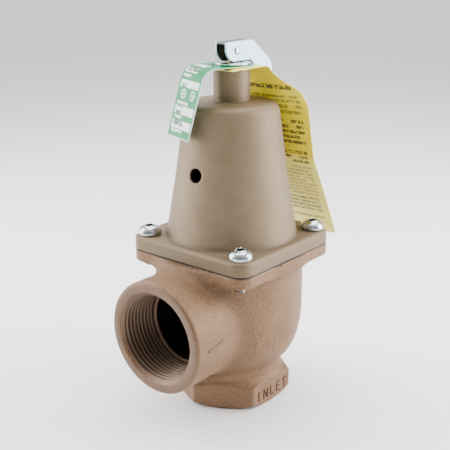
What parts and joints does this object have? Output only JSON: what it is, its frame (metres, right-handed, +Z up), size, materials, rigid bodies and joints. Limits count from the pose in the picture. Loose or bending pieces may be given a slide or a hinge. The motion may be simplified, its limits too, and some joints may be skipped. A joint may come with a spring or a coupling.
{
  "type": "pressure relief valve",
  "caption": "Spring-loaded angle relief valve with a bell bonnet on a square flange, threaded inlet and side outlet, test lever and hanging tags.",
  "frame": {"origin": "middle of the whole valve's bounding box at the level of the inlet face; the stem's axis stands 0.51 mm towards +Y from it", "axes": "+Z up the stem from the inlet face to the lever, -Y out of the outlet, +Y towards the lever's tail and the caution tag"},
  "size_m": [0.0698, 0.1098, 0.173],
  "materials": {
    "cast_bronze": "coarse sand-cast, dull",
    "cast_bonnet": "fine cast, dull",
    "machined_bronze": "machined",
    "bright_steel": "bright zinc plate",
    "lever_plate": "pale blue zinc plate",
    "spring_steel": "oiled steel",
    "black_rubber": "matt",
    "green_tag": "printed plastic film",
    "yellow_tag": "printed card"
  },
  "bodies": {
    "housing": {"valve_body": "cast_bronze", "bonnet": "cast_bonnet", "diaphragm": "black_rubber", "flange_screw_1": "bright_steel", "flange_screw_2": "bright_steel", "flange_screw_3": "bright_steel", "flange_screw_4": "bright_steel", "spring": "spring_steel", "spring_button": "spring_steel", "adjusting_screw": "machined_bronze", "lever_washer": "bright_steel"},
    "stem": {"stem": "machined_bronze", "stem_nut": "bright_steel", "pressure_plate": "spring_steel", "disc_holder": "machined_bronze", "seat_disc": "black_rubber", "disc_washer": "machined_bronze", "disc_screw": "bright_steel", "lever_pin": "bright_steel"},
    "lever": {"lever": "lever_plate"},
    "rating_tag": {"rating_tag": "green_tag"},
    "caution_tag": {"caution_tag": "yellow_tag"}
  },
  "joints": [
    {"name": "stem_lift", "type": "slide", "parent": "housing", "child": "stem", "axis": [0, 0, 1], "range_m": [0, 0.0026], "stiffness_N_per_m": 2000, "springref_m": -0.01, "deforming": ["spring", "diaphragm"]},
    {"name": "lever_pivot", "type": "hinge", "parent": "stem", "child": "lever", "pos_m": [0, 0.00051, 0.1688], "axis": [1, 0, 0], "range_deg": [0, 75]},
    {"name": "rating_tag_swivel", "type": "hinge", "parent": "housing", "child": "rating_tag", "pos_m": [0, 0.00051, 0.1623], "axis": [0, 0, 1], "range_deg": [-60, 100]},
    {"name": "caution_tag_swivel", "type": "hinge", "parent": "housing", "child": "caution_tag", "pos_m": [0, 0.00051, 0.1618], "axis": [0, 0, 1], "range_deg": [-10, 10]}
  ],
  "couplings": [
    {"joint": "lever_pivot", "follows": "stem_lift", "rad_per_m": 500}
  ]
}
